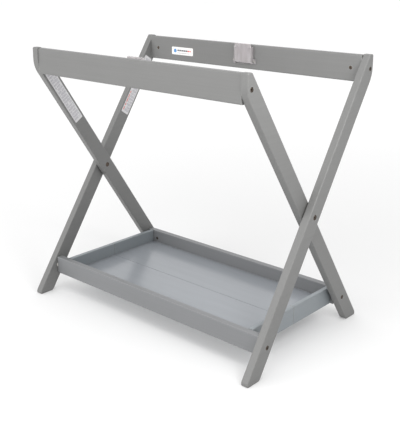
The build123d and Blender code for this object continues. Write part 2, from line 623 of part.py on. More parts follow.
def catch_plate():
    """Clear sprung plate on the pin, with ribs behind and a tooth at each top corner."""
    half = CHEEK_X - CATCH_SIDE_CLEARANCE
    face = CHEEK_DEPTH - 0.2
    back = face - CATCH_PLATE_THICKNESS
    plate = block(-half, half, depth_y(back), depth_y(face), CATCH_PIN_Z, CATCH_TOP)
    plate = fillet(plate.edges().filter_by(Axis.Y).sort_by(Axis.Z)[-2:], CATCH_TOOTH_REACH)
    pin_y = depth_y(CATCH_PIN_DEPTH)
    plate += rod_x(-half, half, pin_y, CATCH_PIN_Z, CATCH_KNUCKLE_RADIUS)
    rib_z = CATCH_PIN_Z + CATCH_KNUCKLE_RADIUS - 1
    step = 2 * (half - CATCH_TOOTH_WIDTH / 2) / (CATCH_RIB_COUNT - 1)
    for n in range(CATCH_RIB_COUNT):
        x = step * (n - (CATCH_RIB_COUNT - 1) / 2)
        plate += block(x - CATCH_RIB_THICKNESS / 2, x + CATCH_RIB_THICKNESS / 2,
                       depth_y(back - CATCH_RIB_DEPTH), depth_y(back + 0.5),
                       rib_z, rib_z + CATCH_RIB_HEIGHT)
    tooth_top = CATCH_TOP - CATCH_TOOTH_REACH - 1
    tooth = Polyline((depth_y(face - 0.5), tooth_top), (depth_y(face), tooth_top),
                     (depth_y(face + CATCH_TOOTH_REACH), tooth_top - CATCH_TOOTH_HEIGHT),
                     (depth_y(face - 0.5), tooth_top - CATCH_TOOTH_HEIGHT), close=True)
    for side in SIDES.values():
        x0 = side * (half - CATCH_TOOTH_WIDTH / 2) - CATCH_TOOTH_WIDTH / 2
        outline = Plane.YZ.offset(x0) * make_face(tooth)
        plate += extrude(outline, CATCH_TOOTH_WIDTH, dir=(1, 0, 0))
    bore = CATCH_PIN_RADIUS + RUNNING_CLEARANCE
    return plate - rod_x(-half - 1, half + 1, pin_y, CATCH_PIN_Z, bore)


def catch_screw(x, z):
    """Round-headed screw through an ear of the base into the rail."""
    shank = rod_y(x, depth_y(EAR_THICKNESS), depth_y(EAR_THICKNESS - CATCH_SCREW_LENGTH),
                  z, SCREW_SHANK_RADIUS)
    head = rod_y(x, depth_y(EAR_THICKNESS), depth_y(EAR_THICKNESS + SCREW_HEAD_HEIGHT),
                 z, SCREW_HEAD_RADIUS)
    head = fillet(head.edges().filter_by(GeomType.CIRCLE).sort_by(Axis.Y)[0], 0.7)
    slot_y = depth_y(EAR_THICKNESS + SCREW_HEAD_HEIGHT)
    slot = block(x - SCREW_HEAD_RADIUS, x + SCREW_HEAD_RADIUS, slot_y - 1, slot_y + 0.6,
                 z - 0.4, z + 0.4)
    return shank + head - slot


def save_catch(name, end):
    """A catch on the middle of a rail: base, sprung plate, pin and screws."""
    pin_half = CATCH_BASE_WIDTH / 2 - 0.6
    pin = rod_x(-pin_half, pin_half, depth_y(CATCH_PIN_DEPTH), CATCH_PIN_Z, CATCH_PIN_RADIUS)
    screws = [catch_screw(x, z) for x, z in catch_screw_places()]
    save(f"{name}_catch_base", flip_end(catch_base(), end))
    save(f"{name}_catch_plate", flip_end(catch_plate(), end))
    save(f"{name}_catch_pin", flip_end(pin, end))
    save(f"{name}_catch_screws", *[flip_end(part, end) for part in screws])


# ---- labels --------------------------------------------------------------------------
def label_sheet(length, width):
    """Flat label with round corners."""
    return RectangleRounded(length, width, LABEL_CORNER_RADIUS)


def rail_label():
    """Label on the rear rail's inner face."""
    plane = Plane(origin=(RAIL_LABEL_X, RAIL_INNER_Y, RAIL_BOTTOM + RAIL_LABEL_LIFT),
                  x_dir=(1, 0, 0), z_dir=(0, -1, 0))
    return extrude(plane * label_sheet(RAIL_LABEL_LENGTH, RAIL_LABEL_HEIGHT), LABEL_THICKNESS)


def leg_label(leg_x, end, length):
    """Label along a left leg's inner face, ending beside the rail."""
    top_z = RAIL_BOTTOM + LEG_LABEL_RISE
    middle_z = top_z - length / 2 * math.cos(LEAN)
    middle_y = end * (middle_z - PIVOT_HEIGHT) * SLOPE
    along = (0, end * math.sin(LEAN), math.cos(LEAN))
    plane = Plane(origin=(-leg_x, middle_y, middle_z), x_dir=along, z_dir=(1, 0, 0))
    return extrude(plane * label_sheet(length, LEG_LABEL_WIDTH), LABEL_THICKNESS)


# ---- the whole stand -----------------------------------------------------------------
os.makedirs("parts", exist_ok=True)

for side_word, side_sign in SIDES.items():
    save(f"inner_leg_{side_word}", flip_side(inner_leg(), side_sign))
    save(f"outer_leg_{side_word}", flip_side(outer_leg(), side_sign))

save_rail("front", FRONT, INNER_LEG_X, INNER_LEG_OUT_X)
save_rail("rear", REAR, OUTER_LEG_X, STAND_LENGTH / 2)
save_pivots()

rear_nut, front_nut = save_tray_bolts()
save_tray_half("rear", REAR, INNER_LEG_X, rear_nut)
save_tray_half("front", FRONT, OUTER_LEG_X, front_nut)
save("hinge_pins", *hinge_pins())

save_catch("front", FRONT)
save_catch("rear", REAR)

save("rail_label", rail_label())
save("inner_leg_label", leg_label(INNER_LEG_X, FRONT, INNER_LEG_LABEL_LENGTH))
save("outer_leg_label", leg_label(OUTER_LEG_X, REAR, OUTER_LEG_LABEL_LENGTH))
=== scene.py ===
import json
import math

import bmesh
import bpy
from mathutils import Matrix, Vector


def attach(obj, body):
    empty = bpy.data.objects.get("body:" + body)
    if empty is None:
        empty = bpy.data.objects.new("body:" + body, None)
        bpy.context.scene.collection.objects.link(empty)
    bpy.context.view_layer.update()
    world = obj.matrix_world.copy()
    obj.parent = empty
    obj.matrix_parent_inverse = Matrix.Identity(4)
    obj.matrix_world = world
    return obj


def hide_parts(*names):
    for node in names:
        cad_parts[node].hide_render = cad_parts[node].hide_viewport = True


# Looks for the folding bassinet stand: painted beech, a painted tray, clear catches,
# bronzed bolts, zinc hinges and screws, and vinyl labels, in a plain pale studio.
# Metres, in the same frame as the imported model.

MM = 0.001
LABEL_BODIES = {
    "rail_label": "outer_frame", "inner_leg_label": "inner_frame", "outer_leg_label": "outer_frame"}

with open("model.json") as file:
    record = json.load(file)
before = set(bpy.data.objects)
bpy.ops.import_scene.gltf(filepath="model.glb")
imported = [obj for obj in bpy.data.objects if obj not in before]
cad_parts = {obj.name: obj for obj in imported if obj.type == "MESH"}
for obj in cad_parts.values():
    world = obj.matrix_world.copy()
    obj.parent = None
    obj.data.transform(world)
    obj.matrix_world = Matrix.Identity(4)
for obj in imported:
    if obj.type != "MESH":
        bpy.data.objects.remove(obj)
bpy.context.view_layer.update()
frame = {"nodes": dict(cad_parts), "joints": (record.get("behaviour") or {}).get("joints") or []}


# ---- reading the frame ---------------------------------------------------------------
def joint_place(name):
    """Where a joint's axis is."""
    return Vector(next(joint["pos_m"] for joint in frame["joints"] if joint["name"] == name))


def reach(node, direction):
    """Lowest and highest distance of a node's points along a direction."""
    along = [vertex.co.dot(direction) for vertex in frame["nodes"][node].data.vertices]
    return min(along), max(along)


def bmesh_of(node):
    """A merged copy of a node's mesh, which has loose triangles."""
    mesh = bmesh.new()
    mesh.from_mesh(frame["nodes"][node].data)
    bmesh.ops.remove_doubles(mesh, verts=mesh.verts, dist=0.002 * MM)
    return mesh


def solids(node):
    """(lowest corner, highest corner) of each separate solid in a node."""
    mesh = bmesh_of(node)
    boxes = []
    unseen = set(mesh.verts)
    while unseen:
        front = [unseen.pop()]
        island = []
        while front:
            vertex = front.pop()
            island.append(vertex.co.copy())
            for edge in vertex.link_edges:
                other = edge.other_vert(vertex)
                if other in unseen:
                    unseen.remove(other)
                    front.append(other)
        low = Vector(min(co[i] for co in island) for i in range(3))
        high = Vector(max(co[i] for co in island) for i in range(3))
        boxes.append((low, high))
    mesh.free()
    return sorted(boxes, key=lambda box: tuple(round(value, 5) for value in box[0]))


PIVOT = joint_place("leg_fold")
TRAY_BOLT = joint_place("rear_tray_fold")
LEG_LEAN = math.atan2(TRAY_BOLT.y - PIVOT.y, PIVOT.z - TRAY_BOLT.z)


# ---- nodes ---------------------------------------------------------------------------
def linear(hex_colour):
    """sRGB hex to linear RGBA."""
    values = [int(hex_colour[i:i + 2], 16) / 255 for i in (1, 3, 5)]
    return [v / 12.92 if v <= 0.04045 else ((v + 0.055) / 1.055) ** 2.4 for v in values] + [1.0]


def add(tree, kind, inputs=None, stops=(), **settings):
    """Add a node with its settings, and a colour ramp's stops. A socket, or a list of them, is
    linked; any other value is set."""
    node = tree.nodes.new(kind)
    for name, value in settings.items():
        setattr(node, name, value)
    for number, (position, colour) in enumerate(stops):
        if number > 1:
            node.color_ramp.elements.new(position)
        node.color_ramp.elements[number].position = position
        node.color_ramp.elements[number].color = linear(colour)
    for key, value in (inputs or {}).items():
        socket = node.inputs[key]
        if isinstance(value, bpy.types.NodeSocket):
            tree.links.new(value, socket)
        elif isinstance(value, list) and isinstance(value[0], bpy.types.NodeSocket):
            for source in value:
                tree.links.new(source, socket)
        else:
            socket.default_value = value
    return node


def new_material(name):
    """An empty node material: its tree and its output node."""
    material = bpy.data.materials.new(name)
    material.use_nodes = True
    tree = material.node_tree
    tree.nodes.clear()
    output = add(tree, "ShaderNodeOutputMaterial")
    return material, tree, output


# ---- materials -----------------------------------------------------------------------
def worn_and_highlit_edges(tree, radius_mm):
    """A mask that is 1 on edges, where paint or plating is worn down and where the frame paint
    takes a painted highlight, and 0 on flat faces.
    """
    rounded = add(tree, "ShaderNodeBevel", {"Radius": radius_mm * MM}, samples=4)
    flat = add(tree, "ShaderNodeNewGeometry")
    alike = add(tree, "ShaderNodeVectorMath", {0: rounded.outputs["Normal"], 1: flat.outputs["Normal"]},
                operation="DOT_PRODUCT")
    edge = add(tree, "ShaderNodeMapRange", {"Value": alike.outputs["Value"], "From Min": 0.995,
                                            "From Max": 0.85, "To Min": 0.0, "To Max": 1.0})
    return edge.outputs["Result"]


def painted_beech(name, grain_turn, colours):
    """Solid beech under sprayed satin paint: even grey, with faint grain lines showing through, a
    fine spray texture in the gloss, a lighter tone on the rounded edges that is partly paint worn
    thinner there and partly a painted highlight, and painted shade that darkens the crevices. Beech
    grain is about 1 mm wide, drawn 5 mm wide so that it shows."""
    material, tree, output = new_material(name)
    where = add(tree, "ShaderNodeTexCoord").outputs["Object"]
    turned = add(tree, "ShaderNodeMapping", {"Vector": where, "Rotation": grain_turn}).outputs["Vector"]
    grain_size = (1 / (260 * MM), 1 / (5 * MM), 1 / (5 * MM))
    grain_at = add(tree, "ShaderNodeMapping", {"Vector": turned, "Scale": grain_size}).outputs["Vector"]
    grain = add(tree, "ShaderNodeTexNoise", {"Vector": grain_at, "Scale": 1.0, "Detail": 4.0,
                                             "Roughness": 0.6, "Distortion": 0.4}).outputs["Fac"]
    fleck_size = (1 / (9 * MM), 1 / (1.2 * MM), 1 / (1.2 * MM))
    fleck_at = add(tree, "ShaderNodeMapping", {"Vector": turned, "Scale": fleck_size}).outputs["Vector"]
    fleck = add(tree, "ShaderNodeTexNoise",
                {"Vector": fleck_at, "Scale": 1.0, "Detail": 2.0}).outputs["Fac"]
    cloud = add(tree, "ShaderNodeTexNoise",
                {"Vector": where, "Scale": 1 / (120 * MM), "Detail": 2.0}).outputs["Fac"]
    spray = add(tree, "ShaderNodeTexNoise",
                {"Vector": where, "Scale": 1 / (1.6 * MM), "Detail": 2.0}).outputs["Fac"]
    dark, middle, light = colours
    paint = add(tree, "ShaderNodeValToRGB", {"Fac": grain},
                [(0.25, dark), (0.5, middle), (0.78, light)]).outputs["Color"]
    drift = add(tree, "ShaderNodeValToRGB", {"Fac": cloud}, [(0.3, dark), (0.7, light)]).outputs["Color"]
    paint = add(tree, "ShaderNodeMix", {"Factor": 0.3, 6: paint, 7: drift}, data_type="RGBA").outputs[2]
    edge = worn_and_highlit_edges(tree, 2.2)
    open_air = add(tree, "ShaderNodeAmbientOcclusion", {"Distance": 14 * MM}, samples=8).outputs["AO"]
    # Painted highlight: the rounded edges are mixed towards a lighter grey, partly for paint worn through
    # there and partly for the sheen the light gives them.
    thin_paint_and_highlight = add(tree, "ShaderNodeMath", {0: edge, 1: grain}, operation="MULTIPLY").outputs[0]
    thin_paint_and_highlight = add(tree, "ShaderNodeMath", {0: thin_paint_and_highlight, 1: 1.3}, operation="MULTIPLY", use_clamp=True).outputs[0]
    paint = add(tree, "ShaderNodeMix", {"Factor": thin_paint_and_highlight, 6: paint, 7: linear("#A9A9A6")},
                data_type="RGBA").outputs[2]
    # Painted shade: where ambient occlusion finds little open air, in crevices and between parts, the
    # paint is darkened.
    shade = add(tree, "ShaderNodeValToRGB", {"Fac": open_air},
                [(0.0, "#C4C1BE"), (0.7, "#FFFFFF")]).outputs["Color"]
    paint = add(tree, "ShaderNodeMix", {"Factor": 1.0, 6: paint, 7: shade}, data_type="RGBA",
                blend_type="MULTIPLY").outputs[2]
    gloss = add(tree, "ShaderNodeMapRange",
                {"Value": spray, "To Min": 0.36, "To Max": 0.50}).outputs["Result"]
    relief = add(tree, "ShaderNodeBump", {"Height": grain, "Strength": 0.2, "Distance": 0.02 * MM})
    relief = add(tree, "ShaderNodeBump", {"Height": fleck, "Strength": 0.2, "Distance": 0.012 * MM,
                                          "Normal": relief.outputs["Normal"]})
    relief = add(tree, "ShaderNodeBump", {"Height": spray, "Strength": 0.25, "Distance": 0.02 * MM,
                                          "Normal": relief.outputs["Normal"]})
    shader = add(tree, "ShaderNodeBsdfPrincipled", {"Base Color": paint, "Roughness": gloss, "IOR": 1.5,
                                                    "Normal": relief.outputs["Normal"]})
    tree.links.new(shader.outputs["BSDF"], output.inputs["Surface"])
    return material


def painted_plywood(name, colours):
    """Plywood tray floor under smooth semi-gloss paint: flatter and shinier than the frame, so it
    mirrors what stands over it softly, with broad roller streaks, and a gloss that drifts where
    the floor has been rubbed."""
    material, tree, output = new_material(name)
    where = add(tree, "ShaderNodeTexCoord").outputs["Object"]
    roller_size = (1 / (180 * MM), 1 / (14 * MM), 1 / (14 * MM))
    roller_at = add(tree, "ShaderNodeMapping", {"Vector": where, "Scale": roller_size}).outputs["Vector"]
    roller = add(tree, "ShaderNodeTexNoise",
                 {"Vector": roller_at, "Scale": 1.0, "Detail": 3.0}).outputs["Fac"]
    stipple = add(tree, "ShaderNodeTexNoise",
                  {"Vector": where, "Scale": 1 / (2.2 * MM), "Detail": 2.0}).outputs["Fac"]
    rub = add(tree, "ShaderNodeTexNoise",
              {"Vector": where, "Scale": 1 / (70 * MM), "Detail": 5.0}).outputs["Fac"]
    dark, light = colours
    paint = add(tree, "ShaderNodeValToRGB", {"Fac": roller}, [(0.2, dark), (0.8, light)]).outputs["Color"]
    open_air = add(tree, "ShaderNodeAmbientOcclusion", {"Distance": 30 * MM}, samples=8).outputs["AO"]
    # Painted shade: the floor darkens where ambient occlusion finds little open air, along the walls and
    # boards and under the hinges.
    shade = add(tree, "ShaderNodeValToRGB", {"Fac": open_air},
                [(0.0, "#A9ABB0"), (0.8, "#FFFFFF")]).outputs["Color"]
    paint = add(tree, "ShaderNodeMix", {"Factor": 1.0, 6: paint, 7: shade}, data_type="RGBA",
                blend_type="MULTIPLY").outputs[2]
    gloss = add(tree, "ShaderNodeMapRange", {"Value": rub, "From Min": 0.3, "From Max": 0.7,
                                             "To Min": 0.19, "To Max": 0.23}).outputs["Result"]
    relief = add(tree, "ShaderNodeBump", {"Height": stipple, "Strength": 0.25, "Distance": 0.02 * MM})
    shader = add(tree, "ShaderNodeBsdfPrincipled", {"Base Color": paint, "Roughness": gloss, "IOR": 1.5,
                                                    "Normal": relief.outputs["Normal"]})
    tree.links.new(shader.outputs["BSDF"], output.inputs["Surface"])
    return material


def plated_steel(name, colours, roughness, spot_mm):
    """Plated steel fastening: metal with a slightly uneven plating, rubbed brighter on its edges, and
    darkened by painted shade in its recesses.
    """
    material, tree, output = new_material(name)
    where = add(tree, "ShaderNodeTexCoord").outputs["Object"]
    spots = add(tree, "ShaderNodeTexNoise",
                {"Vector": where, "Scale": 1 / (spot_mm * MM), "Detail": 4.0}).outputs["Fac"]
    dark, light, rubbed = colours
    metal = add(tree, "ShaderNodeValToRGB", {"Fac": spots}, [(0.3, dark), (0.7, light)]).outputs["Color"]
    edge = worn_and_highlit_edges(tree, 0.3)
    open_air = add(tree, "ShaderNodeAmbientOcclusion", {"Distance": 2.5 * MM}, samples=8).outputs["AO"]
    metal = add(tree, "ShaderNodeMix", {"Factor": edge, 6: metal, 7: linear(rubbed)},
                data_type="RGBA").outputs[2]
    # Painted shade: recesses such as the cross slots and sockets are darkened where ambient occlusion
    # finds little open air.
    shade = add(tree, "ShaderNodeValToRGB", {"Fac": open_air},
                [(0.0, "#6A6560"), (0.8, "#FFFFFF")]).outputs["Color"]
    metal = add(tree, "ShaderNodeMix", {"Factor": 1.0, 6: metal, 7: shade}, data_type="RGBA",
                blend_type="MULTIPLY").outputs[2]
    gloss = add(tree, "ShaderNodeMapRange", {"Value": spots, "To Min": roughness - 0.08,
                                             "To Max": roughness + 0.08}).outputs["Result"]
    relief = add(tree, "ShaderNodeBump", {"Height": spots, "Strength": 0.15, "Distance": 0.05 * MM})
    shader = add(tree, "ShaderNodeBsdfPrincipled", {
        "Base Color": metal, "Metallic": 1.0, "Roughness": gloss, "Normal": relief.outputs["Normal"]})
    tree.links.new(shader.outputs["BSDF"], output.inputs["Surface"])
    return material


def clear_polycarbonate():
    """Injection-moulded clear polycarbonate: see-through and slightly milky, faint flow lines
    and small scuffs that whiten its edges."""
    material, tree, output = new_material("clear_polycarbonate")
    where = add(tree, "ShaderNodeTexCoord").outputs["Object"]
    flow_at = add(tree, "ShaderNodeMapping",
                  {"Vector": where, "Scale": (1 / (9 * MM), 1 / (9 * MM), 1 / (40 * MM))})
    flow = add(tree, "ShaderNodeTexNoise",
               {"Vector": flow_at.outputs["Vector"], "Scale": 1.0, "Detail": 3.0}).outputs["Fac"]
    plastic = add(tree, "ShaderNodeValToRGB", {"Fac": flow},
                  [(0.3, "#DAD3D5"), (0.7, "#EEEAEB")]).outputs["Color"]
    edge = worn_and_highlit_edges(tree, 0.8)
    plastic = add(tree, "ShaderNodeMix", {"Factor": edge, 6: plastic, 7: linear("#FFFFFF")},
                  data_type="RGBA").outputs[2]
    gloss = add(tree, "ShaderNodeMapRange",
                {"Value": flow, "To Min": 0.10, "To Max": 0.22}).outputs["Result"]
    relief = add(tree, "ShaderNodeBump", {"Height": flow, "Strength": 0.2, "Distance": 0.3 * MM})
    shader = add(tree, "ShaderNodeBsdfPrincipled", {"Base Color": plastic, "Roughness": gloss, "IOR": 1.58,
                                                    "Transmission Weight": 0.66,
                                                    "Normal": relief.outputs["Normal"]})
    tree.links.new(shader.outputs["BSDF"], output.inputs["Surface"])
    return material


def plain_moulding(name, colours, roughness, spot_mm):
    """Nylon, vinyl or bare beech: two close tones over a soft mottle with a matt, slightly uneven skin."""
    material, tree, output = new_material(name)
    where = add(tree, "ShaderNodeTexCoord").outputs["Object"]
    mottle = add(tree, "ShaderNodeTexNoise",
                 {"Vector": where, "Scale": 1 / (spot_mm * MM), "Detail": 3.0}).outputs["Fac"]
    colour = add(tree, "ShaderNodeValToRGB", {"Fac": mottle},
                 [(0.3, colours[0]), (0.7, colours[1])]).outputs["Color"]
    gloss = add(tree, "ShaderNodeMapRange", {"Value": mottle, "To Min": roughness - 0.06,
                                             "To Max": roughness + 0.06}).outputs["Result"]
    relief = add(tree, "ShaderNodeBump", {"Height": mottle, "Strength": 0.1, "Distance": 0.05 * MM})
    shader = add(tree, "ShaderNodeBsdfPrincipled", {"Base Color": colour, "Roughness": gloss, "IOR": 1.5,
                                                    "Normal": relief.outputs["Normal"]})
    tree.links.new(shader.outputs["BSDF"], output.inputs["Surface"])
    return material


FRAME_GREYS = ("#70706F", "#737372", "#767675")
TRAY_GREYS = ("#747677", "#77787A", "#7A7B7D")
WALL_GREYS = ("#80868A", "#83898D", "#878C90")
along_x = painted_beech("satin_paint_rail_grain", (0, 0, 0), FRAME_GREYS)
leans_back = painted_beech("satin_paint_outer_leg_grain", (0, math.pi / 2 - LEG_LEAN, math.pi / 2),
                           FRAME_GREYS)
leans_forward = painted_beech("satin_paint_inner_leg_grain", (0, math.pi / 2 + LEG_LEAN, math.pi / 2),
                              FRAME_GREYS)
board_paint = painted_beech("satin_paint_board_grain", (0, 0, 0), TRAY_GREYS)
wall_paint = painted_beech("satin_paint_end_wall_grain", (0, 0, math.pi / 2), WALL_GREYS)
floor_paint = painted_plywood("semi_gloss_paint_tray_floor", ("#8C9095", "#909499"))
bronze = plated_steel("bronzed_steel", ("#4E4640", "#6A6058", "#9A8E80"), 0.42, 1.5)
zinc = plated_steel("zinc_plated_steel", ("#A9A8A2", "#C6C5BF", "#E0DFDA"), 0.36, 0.8)
clear = clear_polycarbonate()
nylon = plain_moulding("moulded_nylon", ("#D8D5CC", "#E2E0D8"), 0.5, 3)
white_vinyl = plain_moulding("white_vinyl_label", ("#E6E4E2", "#EDEBE9"), 0.45, 8)
# Painted shade: the leg labels use the white label vinyl darkened to grey, for the shade they sit in on
# the legs' side faces.
shade_painted_vinyl = plain_moulding("grey_vinyl_label", ("#C9C8C9", "#D1D0D1"), 0.45, 8)
dowel = plain_moulding("bare_beech_dowel", ("#C9A57B", "#D8B88F"), 0.7, 1.2)
grey_ink = plain_moulding("grey_label_ink", ("#96949D", "#A2A0A9"), 0.5, 2)
dark_ink = plain_moulding("dark_label_ink", ("#55545A", "#64636A"), 0.5, 2)
red_ink = plain_moulding("red_label_ink", ("#CE4A42", "#D85A50"), 0.5, 2)
blue_ink = plain_moulding("blue_label_ink", ("#4A86C0", "#5A94CC"), 0.5, 2)

FINISHES = {
    "inner_leg_label": shade_painted_vinyl, "outer_leg_label": shade_painted_vinyl, "rail_label": white_vinyl,
    "inner_leg": leans_forward, "outer_leg": leans_back,
    "rail_dowels": dowel, "barrel_nuts": bronze, "sleeve_nuts": bronze, "washers": nylon,
    "hinge": zinc, "screws": zinc, "pin": zinc, "bolt": bronze,
    "catch_base": clear, "catch_plate": clear,
    "end_wall": wall_paint, "floor": floor_paint, "board": board_paint, "rail": along_x,
}
for node_name, node in frame["nodes"].items():
    finish = next(made for word, made in FINISHES.items() if word in node_name)
    for slot in node.material_slots:
        slot.material = finish
    if not node.material_slots:
        node.data.materials.append(finish)


# ---- repeated pieces, made by Geometry Nodes -----------------------------------------
def new_tree(name, inputs, result):
    """A geometry tree with named inputs: its tree, its input sockets and its output node."""
    tree = bpy.data.node_groups.new(name, "GeometryNodeTree")
    for label, kind in inputs.items():
        tree.interface.new_socket(label, in_out="INPUT", socket_type="NodeSocket" + kind)
    tree.interface.new_socket(result, in_out="OUTPUT", socket_type="NodeSocketGeometry")
    start = add(tree, "NodeGroupInput")
    return tree, start.outputs, add(tree, "NodeGroupOutput")


def printed_lines():
    """Rows of short bars, each a word's length, that stand for the print on a label."""
    tree, given, result = new_tree("printed_lines", {
        "Length": "Float", "Height": "Float", "Words": "Int", "Rows": "Int", "Ink Thickness": "Float",
        "Filled Share": "Float", "Seed": "Int", "Ink": "Material"}, "Print")
    word_pitch = add(tree, "ShaderNodeMath", {0: given["Length"], 1: given["Words"]},
                     operation="DIVIDE").outputs[0]
    row_pitch = add(tree, "ShaderNodeMath", {0: given["Height"], 1: given["Rows"]},
                    operation="DIVIDE").outputs[0]
    grid = add(tree, "GeometryNodeMeshGrid", {
        "Size X": add(tree, "ShaderNodeMath", {0: given["Length"], 1: word_pitch},
                      operation="SUBTRACT").outputs[0],
        "Size Y": add(tree, "ShaderNodeMath", {0: given["Height"], 1: row_pitch},
                      operation="SUBTRACT").outputs[0],
        "Vertices X": given["Words"], "Vertices Y": given["Rows"]})
    share = add(tree, "FunctionNodeRandomValue", {2: 0.55, 3: 0.92, "Seed": given["Seed"]},
                data_type="FLOAT")
    kept = add(tree, "FunctionNodeRandomValue",
               {"Probability": given["Filled Share"], "Seed": given["Seed"]},
               data_type="BOOLEAN")
    size = add(tree, "ShaderNodeCombineXYZ", {
        "X": add(tree, "ShaderNodeMath", {0: word_pitch, 1: share.outputs[1]},
                 operation="MULTIPLY").outputs[0],
        "Y": add(tree, "ShaderNodeMath", {0: row_pitch, 1: 0.45}, operation="MULTIPLY").outputs[0],
        "Z": given["Ink Thickness"]})
    bar = add(tree, "GeometryNodeMeshCube")
    bars = add(tree, "GeometryNodeInstanceOnPoints", {
        "Points": grid.outputs["Mesh"], "Selection": kept.outputs[3], "Instance": bar.outputs["Mesh"],
        "Scale": size.outputs["Vector"]})
    solid = add(tree, "GeometryNodeRealizeInstances", {"Geometry": bars.outputs["Instances"]})
    inked = add(tree, "GeometryNodeSetMaterial",
                {"Geometry": solid.outputs["Geometry"], "Material": given["Ink"]})
    tree.links.new(inked.outputs["Geometry"], result.inputs["Print"])
    return tree


TIP_LENGTH = 3.0      # in shank radii
SLOT_WIDTH = 0.26     # in recess widths
RECESS_DEPTH = 1.3    # in head heights


def cross_head_screws():
    """A pointed, cross-recessed wood screw at every point, its head outwards, each turned its own way."""
    tree, given, result = new_tree("cross_head_screws", {
        "Places": "Geometry", "Outwards": "Vector", "Head Radius": "Float", "Neck Radius": "Float",
        "Head Height": "Float", "Head Stands": "Float", "Shank Radius": "Float", "Length": "Float",
        "Recess Width": "Float", "Seed": "Int", "Steel": "Material"}, "Screws")
    neck_z = add(tree, "ShaderNodeMath", {0: given["Head Stands"], 1: given["Head Height"]},
                 operation="SUBTRACT").outputs[0]
    shank_length = add(tree, "ShaderNodeMath", {0: given["Length"], 1: given["Head Height"]},
                       operation="SUBTRACT").outputs[0]
    tip_length = add(tree, "ShaderNodeMath", {0: given["Shank Radius"], 1: TIP_LENGTH},
                     operation="MULTIPLY").outputs[0]
    straight = add(tree, "ShaderNodeMath", {0: shank_length, 1: tip_length},
                   operation="SUBTRACT").outputs[0]
    cone = add(tree, "GeometryNodeMeshCone", {
        "Vertices": 28, "Radius Top": given["Head Radius"], "Radius Bottom": given["Neck Radius"],
        "Depth": given["Head Height"]})
    head = add(tree, "GeometryNodeTransform", {
        "Geometry": cone.outputs["Mesh"],
        "Translation": add(tree, "ShaderNodeCombineXYZ", {"Z": neck_z}).outputs["Vector"]})
    slot_size = add(tree, "ShaderNodeCombineXYZ", {
        "X": given["Recess Width"],
        "Y": add(tree, "ShaderNodeMath", {0: given["Recess Width"], 1: SLOT_WIDTH},
                 operation="MULTIPLY").outputs[0],
        "Z": add(tree, "ShaderNodeMath", {0: given["Head Height"], 1: RECESS_DEPTH},
                 operation="MULTIPLY").outputs[0]})
    slot_up = add(tree, "ShaderNodeCombineXYZ", {"Z": given["Head Stands"]}).outputs["Vector"]
    slot = add(tree, "GeometryNodeMeshCube", {"Size": slot_size.outputs["Vector"]}).outputs["Mesh"]
    one_way = add(tree, "GeometryNodeTransform", {"Geometry": slot, "Translation": slot_up})
    other_way = add(tree, "GeometryNodeTransform", {"Geometry": slot, "Translation": slot_up,
                                                    "Rotation": (0, 0, math.pi / 2)})
    recessed = add(tree, "GeometryNodeMeshBoolean", {
        "Mesh 1": head.outputs["Geometry"],
        "Mesh 2": [one_way.outputs["Geometry"], other_way.outputs["Geometry"]], "Self Intersection": True},
        operation="DIFFERENCE", solver="EXACT")
    rod = add(tree, "GeometryNodeMeshCylinder",
              {"Vertices": 16, "Radius": given["Shank Radius"], "Depth": straight})
    half_rod = add(tree, "ShaderNodeMath", {0: straight, 1: 0.5}, operation="MULTIPLY").outputs[0]
    rod_z = add(tree, "ShaderNodeMath", {0: neck_z, 1: half_rod}, operation="SUBTRACT").outputs[0]
    shank = add(tree, "GeometryNodeTransform", {
        "Geometry": rod.outputs["Mesh"],
        "Translation": add(tree, "ShaderNodeCombineXYZ", {"Z": rod_z}).outputs["Vector"]})
    point = add(tree, "GeometryNodeMeshCone", {"Vertices": 16, "Radius Top": given["Shank Radius"],
                                               "Radius Bottom": 0.1 * MM, "Depth": tip_length})
    point_z = add(tree, "ShaderNodeMath", {0: neck_z, 1: shank_length}, operation="SUBTRACT").outputs[0]
    tip = add(tree, "GeometryNodeTransform", {
        "Geometry": point.outputs["Mesh"],
        "Translation": add(tree, "ShaderNodeCombineXYZ", {"Z": point_z}).outputs["Vector"]})
    screw = add(tree, "GeometryNodeJoinGeometry", {
        "Geometry": [recessed.outputs["Mesh"], shank.outputs["Geometry"], tip.outputs["Geometry"]]})
    facing = add(tree, "FunctionNodeAlignRotationToVector", {"Vector": given["Outwards"]}, axis="Z")
    angle = add(tree, "FunctionNodeRandomValue", {2: 0.0, 3: math.pi, "Seed": given["Seed"]},
                data_type="FLOAT")
    turn = add(tree, "FunctionNodeAxisAngleToRotation", {"Axis": (0, 0, 1), "Angle": angle.outputs[1]})
    turned = add(tree, "FunctionNodeRotateRotation", {
        "Rotation": facing.outputs["Rotation"], "Rotate By": turn.outputs["Rotation"]},
        rotation_space="LOCAL")
    screws = add(tree, "GeometryNodeInstanceOnPoints", {
        "Points": given["Places"], "Instance": screw.outputs["Geometry"],
        "Rotation": turned.outputs["Rotation"]})
    solid = add(tree, "GeometryNodeRealizeInstances", {"Geometry": screws.outputs["Instances"]})
    plated = add(tree, "GeometryNodeSetMaterial",
                 {"Geometry": solid.outputs["Geometry"], "Material": given["Steel"]})
    tree.links.new(plated.outputs["Geometry"], result.inputs["Screws"])
    return tree


